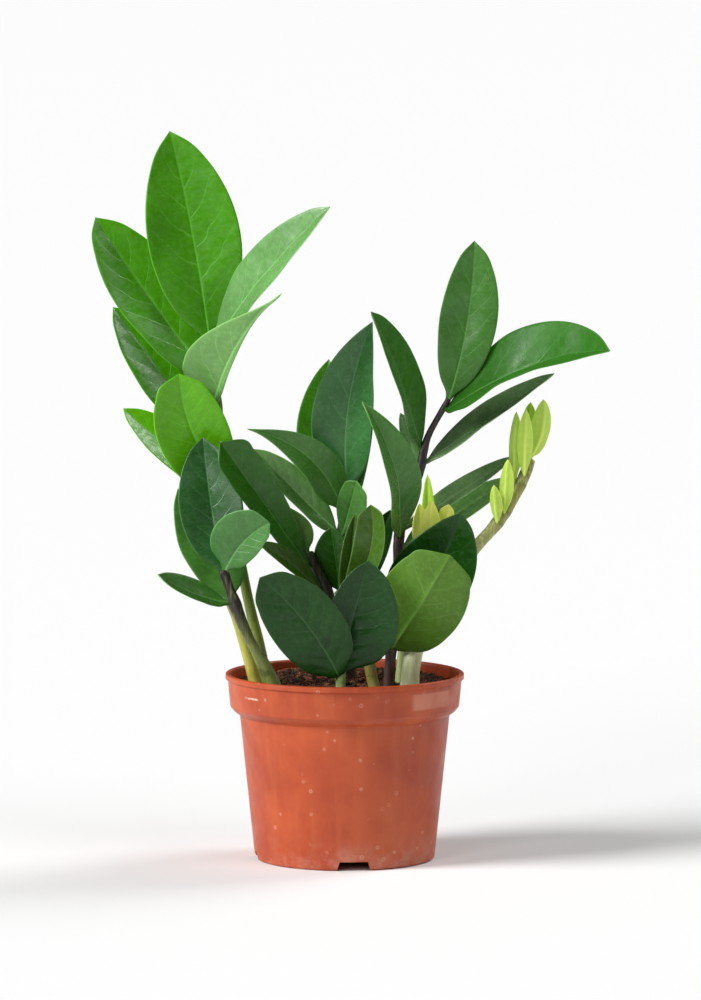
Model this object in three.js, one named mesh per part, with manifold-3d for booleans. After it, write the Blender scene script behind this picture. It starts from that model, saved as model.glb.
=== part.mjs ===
// Potted ZZ plant (Zamioculcas zamiifolia) in a plastic nursery pot.
// Millimetres, +Z up, origin on the floor at the centre of the pot's foot, front towards -Y.
import * as THREE from 'three';
import { mergeVertices } from 'three/addons/utils/BufferGeometryUtils.js';
import Module from 'manifold-3d';

const wasm = await Module();
wasm.setup();

// ---------------------------------------------------------------- driving dimensions

const POT_HEIGHT = 94;
const LIP_RADIUS = 60;
const BAND_TOP_RADIUS = 58.8;
const BAND_BOTTOM_RADIUS = 57.6;
const BAND_HEIGHT = 17;
const BODY_TOP_RADIUS = 53.2;
const FOOT_RADIUS = 45.2;
const FOOT_BEVEL = 1;
const FOOT_RING_WIDTH = 3;
const WALL = 1.5;
const BASE_CLEARANCE = 5;
const LIP_HEIGHT = 2.8;
const LIP_ROUND = 0.6;
const STEP_RADIUS = 55.6;
const STEP_HEIGHT = 4;
const POT_SEGMENTS = 56;

const NOTCH_COUNT = 4;
const NOTCH_FLOOR_WIDTH = 16;
const NOTCH_TOP_WIDTH = 13;
const NOTCH_HEIGHT = 4.6;
const NOTCH_TURN = 5;
const DRAIN_SLOT_LENGTH = 14;
const DRAIN_SLOT_WIDTH = 4;
const DRAIN_SLOT_RADIUS = 26;

const FIT_GAP = 0.4;
const SOIL_LEVEL = 87;
const SOIL_RISE_TO_BACK = 0.035;
const SOIL_BUMP = 0.7;
const SOIL_RINGS = 6;
const SOIL_SEGMENTS = 32;
const STEM_HOLE_CLEARANCE = 0.5;
const PLANTED_DEPTH = 12;

const STEM_SIDES = 8;
const STEM_STATIONS = 9;

// Stations along a leaflet, as fractions of its length; the first is the petiole.
const LEAF_STATIONS = [0.02, 0.09, 0.21, 0.36, 0.52, 0.68, 0.82, 0.93];
const UPPER_POINTS = [-2 / 3, -1 / 3, 0, 1 / 3, 2 / 3];
const LOWER_POINTS = [0.5, 0, -0.5];
const LEAF_THICKNESS = 0.9;
const PETIOLE_THICKNESS = 1.9;
const PETIOLE_HALF_WIDTH = 1.2;
const PETIOLE_GAP = 0.6;

// ---------------------------------------------------------------- small helpers

const vec = ([x, y, z]) => new THREE.Vector3(x, y, z);
const radians = THREE.MathUtils.degToRad;

function paint(hex, roughness) {
  return new THREE.MeshStandardMaterial({ color: hex, roughness, metalness: 0 });
}

function closedGeometry(points, triangles) {
  const geometry = new THREE.BufferGeometry();
  const flat = points.flatMap((point) => [point.x, point.y, point.z]);
  geometry.setAttribute('position', new THREE.Float32BufferAttribute(flat, 3));
  geometry.setIndex(triangles);
  geometry.computeVertexNormals();
  return geometry;
}

// Joins rings of equal size, from a first pole point to a last pole point.
function loftGeometry(firstPole, rings, lastPole) {
  const size = rings[0].length;
  const points = [firstPole, ...rings.flat(), lastPole];
  const last = points.length - 1;
  const triangles = [];
  for (let side = 0; side < size; side += 1) {
    const next = (side + 1) % size;
    triangles.push(0, 1 + next, 1 + side);
    for (let ring = 0; ring < rings.length - 1; ring += 1) {
      const low = 1 + ring * size;
      const high = low + size;
      triangles.push(low + side, low + next, high + next);
      triangles.push(low + side, high + next, high + side);
    }
    const top = 1 + (rings.length - 1) * size;
    triangles.push(last, top + side, top + next);
  }
  return closedGeometry(points, triangles);
}

function solidOf(geometry) {
  const bare = geometry.clone();
  bare.deleteAttribute('normal');
  bare.deleteAttribute('uv');
  const merged = mergeVertices(bare, 1e-4);
  return new wasm.Manifold(new wasm.Mesh({
    numProp: 3,
    vertProperties: new Float32Array(merged.attributes.position.array),
    triVerts: new Uint32Array(merged.index.array),
  }));
}

function geometryOf(solid) {
  const mesh = solid.getMesh();
  const geometry = new THREE.BufferGeometry();
  geometry.setAttribute('position', new THREE.Float32BufferAttribute(mesh.vertProperties, 3));
  geometry.setIndex(Array.from(mesh.triVerts));
  geometry.computeVertexNormals();
  return geometry;
}

// ---------------------------------------------------------------- pot and soil

const wallAt = (z) => THREE.MathUtils.mapLinear(z, 0, POT_HEIGHT - BAND_HEIGHT, FOOT_RADIUS, BODY_TOP_RADIUS);

const BAND_FOOT = POT_HEIGHT - BAND_HEIGHT;
const BASE_TOP = BASE_CLEARANCE + WALL;
const INNER_BAND_RADIUS = BAND_BOTTOM_RADIUS - WALL + 0.4;

function potProfile() {
  const inner = [
    [LIP_RADIUS - 2.2, POT_HEIGHT],
    [INNER_BAND_RADIUS + 0.8, POT_HEIGHT - 0.8],
    [INNER_BAND_RADIUS, BAND_FOOT + 2.5],
    [wallAt(BAND_FOOT) - WALL, BAND_FOOT - 2.5],
    [wallAt(BASE_TOP) - WALL, BASE_TOP],
    [0, BASE_TOP],
  ];
  const outer = [
    [0, BASE_CLEARANCE],
    [FOOT_RADIUS - FOOT_RING_WIDTH, BASE_CLEARANCE],
    [FOOT_RADIUS - FOOT_RING_WIDTH, 0],
    [FOOT_RADIUS - FOOT_BEVEL, 0],
    [wallAt(FOOT_BEVEL), FOOT_BEVEL],
    [wallAt(BAND_FOOT - STEP_HEIGHT), BAND_FOOT - STEP_HEIGHT],
    [STEP_RADIUS, BAND_FOOT - STEP_HEIGHT / 2],
    [BAND_BOTTOM_RADIUS, BAND_FOOT + 0.4],
    [BAND_TOP_RADIUS, POT_HEIGHT - LIP_HEIGHT - LIP_ROUND],
    [LIP_RADIUS, POT_HEIGHT - LIP_HEIGHT],
    [LIP_RADIUS, POT_HEIGHT - LIP_ROUND],
    [LIP_RADIUS - LIP_ROUND, POT_HEIGHT],
  ];
  return [...outer, ...inner].map(([r, z]) => new THREE.Vector2(r, z));
}

function latheUpright(profile, segments) {
  const geometry = new THREE.LatheGeometry(profile, segments);
  return geometry.rotateX(Math.PI / 2);
}

// Trapezoid cutter across the foot ring, pointing towards -Y before it is turned.
function notchCutter() {
  const shape = new THREE.Shape([
    new THREE.Vector2(-NOTCH_FLOOR_WIDTH / 2, -1),
    new THREE.Vector2(NOTCH_FLOOR_WIDTH / 2, -1),
    new THREE.Vector2(NOTCH_TOP_WIDTH / 2, NOTCH_HEIGHT),
    new THREE.Vector2(-NOTCH_TOP_WIDTH / 2, NOTCH_HEIGHT),
  ]);
  const geometry = new THREE.ExtrudeGeometry(shape, { depth: 20, bevelEnabled: false });
  return geometry.rotateX(Math.PI / 2).translate(0, -FOOT_RADIUS + 15, 0);
}

function drainCutter() {
  const slot = new THREE.BoxGeometry(DRAIN_SLOT_WIDTH, DRAIN_SLOT_LENGTH, 4 * WALL);
  return slot.translate(0, -DRAIN_SLOT_RADIUS, BASE_CLEARANCE + WALL / 2);
}

function potGeometry() {
  let pot = solidOf(latheUpright(potProfile(), POT_SEGMENTS));
  for (let index = 0; index < NOTCH_COUNT; index += 1) {
    const turn = radians(NOTCH_TURN) + (index * 2 * Math.PI) / NOTCH_COUNT;
    pot = pot.subtract(solidOf(notchCutter().rotateZ(turn)));
    pot = pot.subtract(solidOf(drainCutter().rotateZ(turn)));
  }
  return geometryOf(pot);
}

// Low mounds of potting mix, a little higher at the back.
function soilHeight(x, y) {
  const waves = Math.sin(x / 7 + 1) * Math.cos(y / 9) + 0.6 * Math.sin(x / 4 - y / 5 + 2);
  return SOIL_LEVEL + SOIL_RISE_TO_BACK * y + SOIL_BUMP * waves;
}

function soilGeometry(stemSolids) {
  const ring = (radius, heightOf) => {
    const points = [];
    for (let step = 0; step < SOIL_SEGMENTS; step += 1) {
      const angle = (step * 2 * Math.PI) / SOIL_SEGMENTS;
      const x = radius * Math.cos(angle);
      const y = radius * Math.sin(angle);
      points.push(new THREE.Vector3(x, y, heightOf(x, y)));
    }
    return points;
  };
  const level = (z) => () => z;
  const edge = INNER_BAND_RADIUS - FIT_GAP;
  const rings = [
    ring(wallAt(BASE_TOP) - WALL - FIT_GAP, level(BASE_TOP + FIT_GAP)),
    ring(wallAt(BAND_FOOT) - WALL - FIT_GAP, level(BAND_FOOT - 2.5)),
    ring(edge, level(BAND_FOOT + 2.5)),
  ];
  for (let step = 0; step < SOIL_RINGS; step += 1) {
    rings.push(ring(edge * (1 - step / SOIL_RINGS), soilHeight));
  }
  const bottom = new THREE.Vector3(0, 0, BASE_TOP + FIT_GAP);
  const top = new THREE.Vector3(0, 0, soilHeight(0, 0));
  let soil = solidOf(loftGeometry(bottom, rings, top));
  for (const solid of stemSolids) {
    soil = soil.subtract(solid);
  }
  return geometryOf(soil);
}

// ---------------------------------------------------------------- stems

// Each stem is a list of [x, y, z, radius] points from the soil to its top.
const stems = {
  tall: {
    color: 0x5d6b3a,
    points: [
      [-39, 2, 87, 3], [-43.5, 4, 109, 2.9], [-47.5, 6, 125, 2.7], [-52, 9, 147, 2.5],
      [-58, 12, 182, 2.3], [-62, 13, 212, 2.1], [-64.5, 13, 236, 1.9], [-68, 13, 260, 1.5],
    ],
  },
  yellow: {
    color: 0x9c9c40,
    points: [[-44, -9, 87, 3.3], [-48, -9, 102, 3], [-53.5, -9, 121, 2.8], [-57, -9, 130, 2.2]],
  },
  dark: {
    color: 0x3c3036,
    points: [
      [-35, -18, 87, 4], [-40, -18.5, 99, 3.6], [-47, -19, 112, 2.3], [-53.5, -19.5, 127, 3.2],
      [-56.5, -19.5, 136, 2.4], [-60.5, -19.5, 147, 2.2],
    ],
  },
  middle_low: {
    color: 0x2f3322,
    points: [[-4, 10, 87, 2.7], [-4, 9, 110, 2.5], [-7, 8, 130, 2.4], [-18, 6, 153, 2.4]],
  },
  middle_high: {
    color: 0x39402a,
    points: [[4, 16, 87, 2.8], [0, 16, 120, 2.6], [-2, 16, 155, 2.4], [1, 16, 183, 2.1]],
  },
  front: {
    color: 0x8f9f6c,
    points: [[-2, -38, 87, 2.6], [-2, -38, 93, 2.4], [-2, -38, 99, 2.3]],
  },
  olive: {
    color: 0x7d7340,
    points: [[15, -20, 87, 3], [11, -18, 105, 2.8], [3, -14, 122, 2.4], [-3, -12, 136, 2.1]],
  },
  right: {
    color: 0x44302c,
    points: [
      [22, -6, 87, 2.9], [24, -5, 115, 2.6], [27, -3, 150, 2.5], [29, 0, 175, 2.4],
      [37, 3, 192, 2.2], [39, 4, 203, 2], [42, 5, 213, 1.7], [52, 6, 231, 1.3],
    ],
  },
  bud: {
    color: 0x9fb56a,
    points: [[28, 8, 87, 2.8], [31, 7, 115, 2.6], [38, 3, 136, 2.4], [43, -3, 151, 2]],
  },
  shoot: {
    color: 0x9a9a52,
    points: [
      [32.5, -6, 87, 5], [34.5, -4, 104, 4.6], [45, 4, 130, 3.8], [66, 12, 156, 3.1],
      [80.5, 17, 172.5, 2.8], [90, 20, 190, 2.7], [93.5, 21, 199, 2.3],
    ],
  },
};

function stemCurve({ points }) {
  const centre = new THREE.CatmullRomCurve3(points.map(vec));
  const radiusAt = (u) => {
    const along = u * (points.length - 1);
    const index = Math.min(Math.floor(along), points.length - 2);
    return THREE.MathUtils.lerp(points[index][3], points[index + 1][3], along - index);
  };
  return { centre, radiusAt };
}

function tubeGeometry({ centre, radiusAt }, startDepth, growth) {
  const rings = [];
  for (let station = 0; station < STEM_STATIONS; station += 1) {
    const u = station / (STEM_STATIONS - 1);
    const middle = centre.getPoint(u);
    const along = centre.getTangent(u);
    const across = new THREE.Vector3(0, 1, 0).cross(along).normalize();
    const outward = along.clone().cross(across);
    const radius = radiusAt(u) + growth;
    const ring = [];
    for (let side = 0; side < STEM_SIDES; side += 1) {
      const angle = (side * 2 * Math.PI) / STEM_SIDES;
      const offset = across.clone().multiplyScalar(radius * Math.cos(angle));
      offset.addScaledVector(outward, radius * Math.sin(angle));
      ring.push(middle.clone().add(offset));
    }
    rings.push(ring);
  }
  const planted = rings[0].map((point) => new THREE.Vector3(point.x, point.y, SOIL_LEVEL - startDepth));
  const start = centre.getPoint(0);
  const bottom = new THREE.Vector3(start.x, start.y, SOIL_LEVEL - startDepth - 1);
  const end = centre.getTangent(1).multiplyScalar(0.5 * radiusAt(1)).add(centre.getPoint(1));
  return loftGeometry(bottom, [planted, ...rings], end);
}

// ---------------------------------------------------------------- leaflets

// Outline of half a blade, 0 at both ends and 1 at the widest station.
function bladeOutline(u, widest, blunt) {
  const rise = blunt;
  const fall = (blunt * (1 - widest)) / widest;
  return (u / widest) ** rise * ((1 - u) / (1 - widest)) ** fall;
}

// The petiole's start on a stem's surface at a height, on the given side or towards the tip.
function leafBase(curve, height, tip, side, gap) {
  let low = 0;
  let high = 1;
  while (high - low > 1e-4) {
    const middle = (low + high) / 2;
    if (curve.centre.getPoint(middle).z < height) {
      low = middle;
    } else {
      high = middle;
    }
  }
  const centre = curve.centre.getPoint(high);
  const axis = curve.centre.getTangent(high);
  const towardsTip = tip.clone().sub(centre).normalize();
  if (high > 0.98) {
    return centre.addScaledVector(axis, 0.5 * curve.radiusAt(1)).addScaledVector(towardsTip, gap + 0.3);
  }
  const sideways = side ? vec(side) : towardsTip;
  sideways.addScaledVector(axis, -sideways.dot(axis)).normalize();
  return centre.addScaledVector(sideways, curve.radiusAt(high) + gap);
}

// A closed blade: rings of points from the petiole to the tip, upper side first.
function leafGeometry(base, leaf) {
  const { width, skew = 0, arch = 0, sway = 0, fold = 12, widest = 0.48, blunt = 0.72 } = leaf;
  const tip = vec(leaf.tip);
  const chord = tip.clone().sub(base);
  const along = chord.clone().normalize();
  const facing = vec(leaf.faces).addScaledVector(along, -vec(leaf.faces).dot(along)).normalize();
  const sideways = along.clone().cross(facing);
  const centreAt = (u) => {
    const bow = 4 * u * (1 - u);
    const point = base.clone().addScaledVector(chord, u);
    return point.addScaledVector(facing, arch * bow).addScaledVector(sideways, sway * bow);
  };
  const ringAt = (u) => {
    const tangent = centreAt(Math.min(u + 0.01, 1)).sub(centreAt(u - 0.01)).normalize();
    const normal = facing.clone().addScaledVector(tangent, -facing.dot(tangent)).normalize();
    const across = tangent.clone().cross(normal);
    const half = Math.max((width / 2) * bladeOutline(u, widest, blunt), PETIOLE_HALF_WIDTH * (1 - u));
    const slope = radians(fold) * Math.min(1, 3 * u);
    const petiole = Math.max(0, 1 - u / LEAF_STATIONS[2]);
    const thickness = THREE.MathUtils.lerp(LEAF_THICKNESS, PETIOLE_THICKNESS, petiole);
    const pointAt = (v, side) => {
      const reach = half * (1 + Math.sign(v) * skew);
      const level = reach * Math.sin(slope) * Math.abs(v) ** 1.25;
      const lift = side * (thickness / 2) * (1 - v * v) ** 0.6;
      const point = centreAt(u).addScaledVector(across, reach * Math.cos(slope) * v);
      return point.addScaledVector(normal, level + lift);
    };
    const upper = UPPER_POINTS.map((v) => pointAt(v, 1));
    const lower = LOWER_POINTS.map((v) => pointAt(v, -1));
    return [pointAt(-1, 0), ...upper, pointAt(1, 0), ...lower];
  };
  return loftGeometry(base, LEAF_STATIONS.map(ringAt), tip);
}

const leafColors = {
  tall: 0x4b8f16,
  dark: 0x2c4d38,
  yellow: 0x4a7d33,
  middle_low: 0x2c6a14,
  middle_high: 0x3c6b3c,
  front: 0x244f22,
  olive: 0x4e7027,
  right: 0x376f2a,
  bud: 0xc3d355,
  shoot: 0x9db84a,
};

// Each leaflet grows from its stem at the height "at" and ends at "tip"; "faces" is the way its upper side
// looks. "side" is the side of the stem that it grows from (without it, the side towards the tip) and "gap"
// is how far from the stem it starts. "arch" bows the blade towards its upper side and "sway" to its right,
// in millimetres. "fold" is the rise of each half from the midrib in degrees, "skew" makes the right half
// wider than the left, "widest" is where along its length it is widest, and a low "blunt" rounds its ends.
const leaflets = {
  tall: [
    { at: 261, tip: [-88, 24, 365], faces: [0.1, -1, 0.1], width: 48.5, sway: 1.6, fold: 14 },
    {
      at: 241, tip: [-126, 36, 321], faces: [0.3, -0.85, 0.4],
      width: 41, sway: -1.5, fold: 15, widest: 0.5,
    },
    {
      at: 256, tip: [-7, -28, 329.5], faces: [-0.5, -0.6, 0.5], side: [1, -1, 0],
      width: 31, arch: 5, fold: 18,
    },
    {
      at: 228, tip: [-31, -36, 287], faces: [-0.2, -1, 0.1], side: [-0.5, -0.9, 0], gap: 2.5,
      width: 25, skew: -0.75, sway: -6, fold: 6, widest: 0.2, blunt: 0.5,
    },
    {
      at: 188, tip: [-83, 0, 244.5], faces: [0, -1, 0.2], side: [-0.4, -1, 0], gap: 1.6,
      width: 37, sway: -5, widest: 0.5, blunt: 0.5,
    },
    { at: 206, tip: [-117, 30, 276], faces: [0.3, -0.8, 0.5], width: 36, fold: 16 },
    { at: 183, tip: [-112, 26, 225], faces: [0.1, -0.6, 0.75], width: 27, fold: 16 },
  ],
  dark: [
    {
      at: 147, tip: [-71, -4, 213], faces: [0, -1, 0.1],
      width: 33, sway: -1, fold: 14, widest: 0.46, blunt: 0.65,
    },
    {
      at: 146, tip: [-37, -35, 173], faces: [0, -1, 0.2], side: [-0.5, -1, 0], gap: 3.2,
      width: 26, skew: -0.25, sway: -3, fold: 14, blunt: 0.45,
    },
    { at: 132, tip: [-93, -28, 146.5], faces: [0, -0.45, 0.9], width: 20, fold: 14, arch: -2 },
  ],
  yellow: [
    { at: 130, tip: [-84, 8, 186], faces: [0.1, -1, 0.1], width: 32, sway: 3.5, fold: 14 },
  ],
  middle_low: [
    {
      at: 148, tip: [-62, -24, 212.5], faces: [0.3, -0.9, 0.3], side: [-1, -0.6, 0], gap: 1,
      width: 24, fold: 24, widest: 0.72, blunt: 0.72,
    },
    {
      at: 153, tip: [-34, 2, 180], faces: [0.3, 0.9, 0.3],
      width: 13, skew: -0.35, fold: 16, widest: 0.38, blunt: 0.7,
    },
    {
      at: 136, tip: [-43, -16, 161], faces: [0.3, -0.8, 0.6], side: [-1, -0.6, 0], gap: 1.2,
      width: 13, sway: 2, fold: 20,
    },
  ],
  middle_high: [
    { at: 183, tip: [14, 10, 270], faces: [-0.3, -0.9, 0.1], width: 36, sway: -6, fold: 26, widest: 0.42 },
    {
      at: 176, tip: [-8, 40, 249], faces: [-0.2, -1, 0.2], side: [-0.6, 1, 0], gap: 1.4,
      width: 30, sway: -5, fold: 12, widest: 0.44,
    },
    {
      at: 172, tip: [12, 20, 225], faces: [0.2, -1, 0.2], side: [1, 0.3, 0], gap: 2.2,
      width: 8, fold: 12, widest: 0.65,
    },
    {
      at: 175, tip: [-49, -8, 217.5], faces: [0.15, -0.95, 0.3], side: [-0.5, -1, 0], gap: 1.4,
      width: 22, arch: 3, sway: 8.5, fold: 20, widest: 0.34,
    },
    { at: 163, tip: [-46, 8, 206], faces: [0.3, -0.8, 0.5], width: 20, fold: 26 },
    {
      at: 134, tip: [-7, 5, 167], faces: [-0.2, -1, 0], side: [-0.3, -1, 0], gap: 1.2,
      width: 22, fold: 10,
    },
    {
      at: 163, tip: [6, -4, 191], faces: [-0.3, -0.9, 0.3], side: [0.2, -1, 0],
      width: 18, skew: 0.2, fold: 12, widest: 0.6, blunt: 0.6,
    },
  ],
  front: [
    {
      at: 98, tip: [-42, -55, 148], faces: [-0.1, -1, 0.1], side: [-0.5, -1, 0],
      width: 36, sway: 3.5, fold: 8, widest: 0.47, blunt: 0.48,
    },
    {
      at: 99, tip: [12, -42, 155], faces: [0.15, -1, 0.1], side: [0.5, 1, 0],
      width: 37, skew: 0.25, arch: -3, fold: 12, widest: 0.42, blunt: 0.5,
    },
  ],
  olive: [
    {
      at: 134, tip: [13, -18, 180.5], faces: [-0.3, -0.9, 0.1],
      width: 19, sway: 6.5, fold: 30, widest: 0.6, blunt: 0.6,
    },
    {
      at: 130, tip: [23, 2, 176], faces: [0.3, -0.9, 0.2], side: [1, 0.4, 0],
      width: 14, sway: 1, fold: 16, blunt: 0.6,
    },
    {
      at: 132, tip: [5, -1, 174], faces: [0.2, -1, 0], side: [0, 1, 0], gap: 1,
      width: 11, sway: 1, fold: 12,
    },
  ],
  right: [
    { at: 231, tip: [65, 12, 310.5], faces: [0.1, -1, 0.1], width: 30, sway: 3, fold: 14, widest: 0.5 },
    {
      at: 227, tip: [131, -44, 259], faces: [0.1, -0.65, 0.75], side: [1, -0.7, 0], gap: 2,
      width: 40, skew: -0.1, sway: -12, fold: 26, widest: 0.44, blunt: 0.65,
    },
    { at: 206, tip: [13, -4, 276], faces: [0.8, -0.5, 0.3], width: 28, sway: 5, fold: 20 },
    { at: 200, tip: [106, 24, 243], faces: [-0.15, -0.3, 0.95], width: 22, fold: 20 },
    {
      at: 163, tip: [8.5, -26, 233], faces: [0.6, -0.7, 0.2], side: [-0.2, -1, 0], gap: 1,
      width: 26, arch: 8, sway: 2, fold: 26, widest: 0.4,
    },
    {
      at: 192, tip: [28, 24, 223], faces: [0.2, -0.9, 0.2], side: [-0.6, 1, 0],
      width: 10, sway: 1.5, fold: 12,
    },
    {
      at: 167, tip: [86, 30, 200.5], faces: [-0.2, -0.6, 0.8], side: [1, 1, 0], gap: 1,
      width: 14, fold: 18,
    },
    { at: 158, tip: [86, 38, 189], faces: [-0.2, -0.8, 0.7], side: [1, 0.8, 0], width: 18, fold: 18 },
    {
      at: 108, tip: [52.3, -40, 157.5], faces: [0.1, 1, 0.2], side: [0.2, -1, 0],
      width: 44, arch: -6, fold: 8, widest: 0.52, blunt: 0.45,
    },
    {
      at: 124, tip: [58, -22, 177], faces: [0.1, -1, 0.1], side: [0.3, -1, 0],
      width: 41, sway: 4.5, fold: 12, widest: 0.42, blunt: 0.55,
    },
  ],
  bud: [
    { at: 148, tip: [37.5, -6, 180], faces: [0.3, 0.95, 0], side: [-1, 0, 0], gap: 1, width: 10, fold: 8 },
    {
      at: 147, tip: [43.5, -12, 182], faces: [0, 1, 0], side: [0, -1, 0], gap: 1.4,
      width: 12, arch: -1, fold: 8,
    },
    {
      at: 149, tip: [52, -6, 179.5], faces: [-0.3, 0.95, 0], side: [1, -0.3, 0], gap: 1.8,
      width: 10, fold: 8, widest: 0.6,
    },
    { at: 150, tip: [41.5, 2, 194], faces: [0, -1, 0], side: [-0.2, 1, 0], width: 7, fold: 8 },
  ],
  shoot: [
    { at: 187, tip: [86.5, 18, 224], faces: [0.5, 0.85, 0], side: [-1, 0, 0], gap: 1, width: 8, fold: 12 },
    { at: 192, tip: [91, 9, 226], faces: [0, 1, 0], side: [-0.2, -1, 0], gap: 0.8, width: 8, fold: 12 },
    { at: 195, tip: [94, 31, 228], faces: [0, -1, 0], side: [-0.2, 1, 0], gap: 0.9, width: 10, fold: 10 },
    { at: 199, tip: [100, 21, 230], faces: [-0.5, 0.85, 0], width: 13, sway: -3, fold: 20 },
    { at: 173, tip: [82, 6, 201], faces: [0.4, 0.9, 0], side: [-0.3, -1, 0], gap: 0.9, width: 8, fold: 10 },
    { at: 168, tip: [75, 6, 188], faces: [0.4, 0.9, 0], side: [-0.3, -1, 0], width: 7, fold: 12 },
  ],
};

// ---------------------------------------------------------------- the plant

const plant = new THREE.Group();
plant.name = 'potted_zz_plant';

function addMesh(name, geometry, material) {
  const mesh = new THREE.Mesh(geometry, material);
  mesh.name = name;
  plant.add(mesh);
}

addMesh('pot', potGeometry(), paint(0xb5522f, 0.5));

const stemCurves = Object.fromEntries(Object.entries(stems).map(([name, stem]) => [name, stemCurve(stem)]));
const holes = [];
for (const [name, curve] of Object.entries(stemCurves)) {
  holes.push(solidOf(tubeGeometry(curve, PLANTED_DEPTH + STEM_HOLE_CLEARANCE, STEM_HOLE_CLEARANCE)));
  addMesh(`${name}_stem`, tubeGeometry(curve, PLANTED_DEPTH, 0), paint(stems[name].color, 0.55));
}

addMesh('soil', soilGeometry(holes), paint(0x2a1c16, 0.95));

for (const [name, group] of Object.entries(leaflets)) {
  group.forEach((leaf, index) => {
    const base = leafBase(stemCurves[name], leaf.at, vec(leaf.tip), leaf.side, leaf.gap ?? PETIOLE_GAP);
    addMesh(`${name}_leaf_${index + 1}`, leafGeometry(base, leaf), paint(leafColors[name], 0.35));
  });
}

export default plant;
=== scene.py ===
"""The look of the potted ZZ plant: leaflets, stems, potting mix, pot, light and camera on the frame."""
import math
import random
from collections import defaultdict

import bmesh
import bpy
import numpy as np
from mathutils import Matrix, Vector, noise
from mathutils.bvhtree import BVHTree


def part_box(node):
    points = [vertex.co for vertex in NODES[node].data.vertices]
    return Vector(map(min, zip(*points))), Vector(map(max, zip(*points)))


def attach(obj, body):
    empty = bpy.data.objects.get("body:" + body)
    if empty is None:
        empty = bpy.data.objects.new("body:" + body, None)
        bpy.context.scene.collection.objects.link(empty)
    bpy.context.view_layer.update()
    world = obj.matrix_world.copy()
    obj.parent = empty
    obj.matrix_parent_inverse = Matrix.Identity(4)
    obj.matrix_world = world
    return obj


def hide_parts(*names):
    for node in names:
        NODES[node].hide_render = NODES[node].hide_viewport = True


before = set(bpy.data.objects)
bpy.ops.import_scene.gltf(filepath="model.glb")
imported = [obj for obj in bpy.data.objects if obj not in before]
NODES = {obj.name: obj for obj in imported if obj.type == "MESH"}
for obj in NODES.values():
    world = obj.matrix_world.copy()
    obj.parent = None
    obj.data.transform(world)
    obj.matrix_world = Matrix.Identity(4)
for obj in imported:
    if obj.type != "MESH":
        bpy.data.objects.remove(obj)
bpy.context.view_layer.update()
MM = 0.001

# ---------------------------------------------------------------- driving values

# Fractions across half a leaflet, from the midrib to the rim.
ACROSS_HALF = (0.03, 0.06, 0.11, 0.18, 0.27, 0.38, 0.5, 0.62, 0.74, 0.84, 0.92, 0.97, 1.0)
ACROSS = np.array([-v for v in reversed(ACROSS_HALF)] + [0.0] + list(ACROSS_HALF))
ALONG_COUNT = 54
CAGE_UPPER = np.array([-1, -2 / 3, -1 / 3, 0, 1 / 3, 2 / 3, 1])
CAGE_LOWER = np.array([-1, -0.5, 0, 0.5, 1])
# Rows of a leaflet crowd towards both its ends by this share.
ROW_EASE = 0.35
BLADE_HALF_THICKNESS = 0.42 * MM
PETIOLE_HALF_THICKNESS = 0.95 * MM
# How wide a petiole is inside its stem and at the CAD leaflet's end, as shares of the first ring.
ROOT_SHARE = 0.5
BASE_SHARE = 0.75
# Shares of a leaflet's length over which its petiole widens into the blade and its tip thins out.
PETIOLE_SHARE = 0.16
TIP_SHARE = 0.03
TIP_THINNEST = 0.25
SIDE_VEINS = 7
VEIN_RAKE = 0.24
# The dip along each side vein, and its width in vein spacings.
VEIN_DEPTH = 0.22 * MM
VEIN_WIDTH = 0.13
# How far from the midrib the side veins reach their full depth.
VEIN_START = 2 * MM
RIB_DEPTH = 0.42 * MM
RIB_WIDTH = 0.8 * MM
# How much of the midrib's groove stands out as a ridge below.
RIB_BELOW = 0.9
# The greatest waviness of a blade, and its greatest share of the blade's half width.
WAVE_HEIGHT = 0.9 * MM
WAVE_SHARE = 0.07
# Waves to the metre along and across a blade, and how far apart the waves of two blades are picked.
WAVES_ALONG = 55
WAVES_ACROSS = 80
WAVE_SHIFT = 3.7
# How far the veins right of the midrib are shifted, and those of the next leaflet, in vein spacings.
VEIN_OFFSET = 0.37
VEIN_SHIFT = 0.13
# Leaflets with deep cross folds, and how much deeper than the rest these are.
PUCKERED = {"front_leaf_1": 4.0, "front_leaf_2": 3.0, "tall_leaf_1": 1.8}

# Points that are this close are made one.
WELD_GAP = 1e-7

# Points round each ring of a CAD stem.
STEM_CAGE = 8
STEM_SIDES = 28
STEM_RINGS = 90
STEM_DOME_RINGS = 4
# How finely a stem's axis is searched, and how far below its last ring, in rings, a petiole may join it.
AXIS_STEPS = 400
TOP_MARGIN = 0.2
STEM_RIPPLE = 0.035
# How much a stem swells at a leaflet, how far along it, and how far the dark collar there reaches.
SWELL = 0.16
SWELL_REACH = 4 * MM
COLLAR_REACH = 1.1 * MM

POT_SEGMENTS = 192
POT_STEP = 0.4 * MM
LIP_RISE = 0.7 * MM
LIP_STEPS = 8
SHARP_ANGLE = 40
# How far the cut for a foot notch goes below the floor, and past the ring on either side.
NOTCH_BELOW = 1 * MM
NOTCH_FLARE = 1.5 * MM
NOTCH_REACH = 6 * MM
# How far the cut for a drain slot goes below and above the underside of the base.
SLOT_BELOW = 3 * MM
SLOT_ABOVE = 5 * MM
# Corners of a block round each of its sides.
BLOCK_SIDES = ((0, 1, 2, 3), (7, 6, 5, 4), (0, 4, 5, 1), (1, 5, 6, 2), (2, 6, 7, 3), (3, 7, 4, 0))

SOIL_SEED = 11
CRUMB_COUNT = 3000
BARK_COUNT = 240
FIBRE_COUNT = 140
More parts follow.
